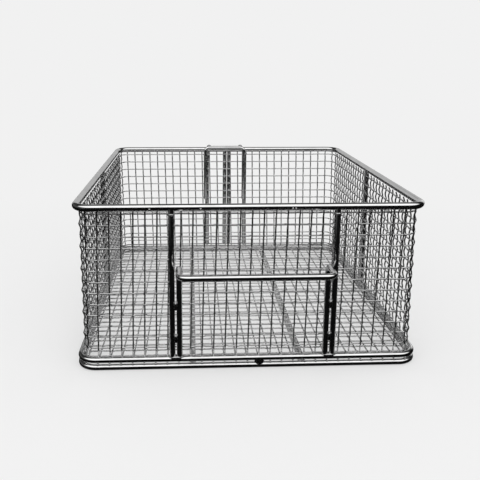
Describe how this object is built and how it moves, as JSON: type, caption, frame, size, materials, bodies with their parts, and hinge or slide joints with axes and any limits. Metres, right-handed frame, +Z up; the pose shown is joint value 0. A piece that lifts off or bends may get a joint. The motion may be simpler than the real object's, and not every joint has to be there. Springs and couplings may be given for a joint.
{
  "type": "deep fryer basket",
  "caption": "Open rectangular wire mesh basket with a heavy round rim, twin base rings, upright stays, a stirrup-shaped front hanger bar and a rear hook.",
  "frame": {"origin": "under the middle of the basket's base, on the surface that it stands on", "axes": "+Z up, +Y from the hanger bar towards the rear hook, +X to the right when the hanger bar faces the viewer"},
  "size_m": [0.382, 0.45, 0.192],
  "materials": {
    "rod_steel": "bright nickel plate",
    "mesh_steel": "bright nickel plate",
    "weld_metal": "plated over as welded"
  },
  "bodies": {
    "root": {"top_rim": "rod_steel", "base_upper_ring": "rod_steel", "base_lower_ring": "rod_steel", "wall_mesh": "mesh_steel", "floor_mesh": "mesh_steel", "hanger_bar": "rod_steel", "rear_hook": "rod_steel", "front_stay_left": "rod_steel", "front_stay_right": "rod_steel", "side_stay_left": "rod_steel", "side_stay_right": "rod_steel", "rear_stay_left": "rod_steel", "rear_stay_right": "rod_steel", "seam_rod_left": "rod_steel", "seam_rod_right": "rod_steel", "base_runner_left": "rod_steel", "base_runner_right": "rod_steel", "hanger_welds": "weld_metal", "stay_foot_welds": "weld_metal", "stay_top_welds": "weld_metal", "hook_welds": "weld_metal", "ring_weld": "weld_metal"}
  },
  "joints": []
}
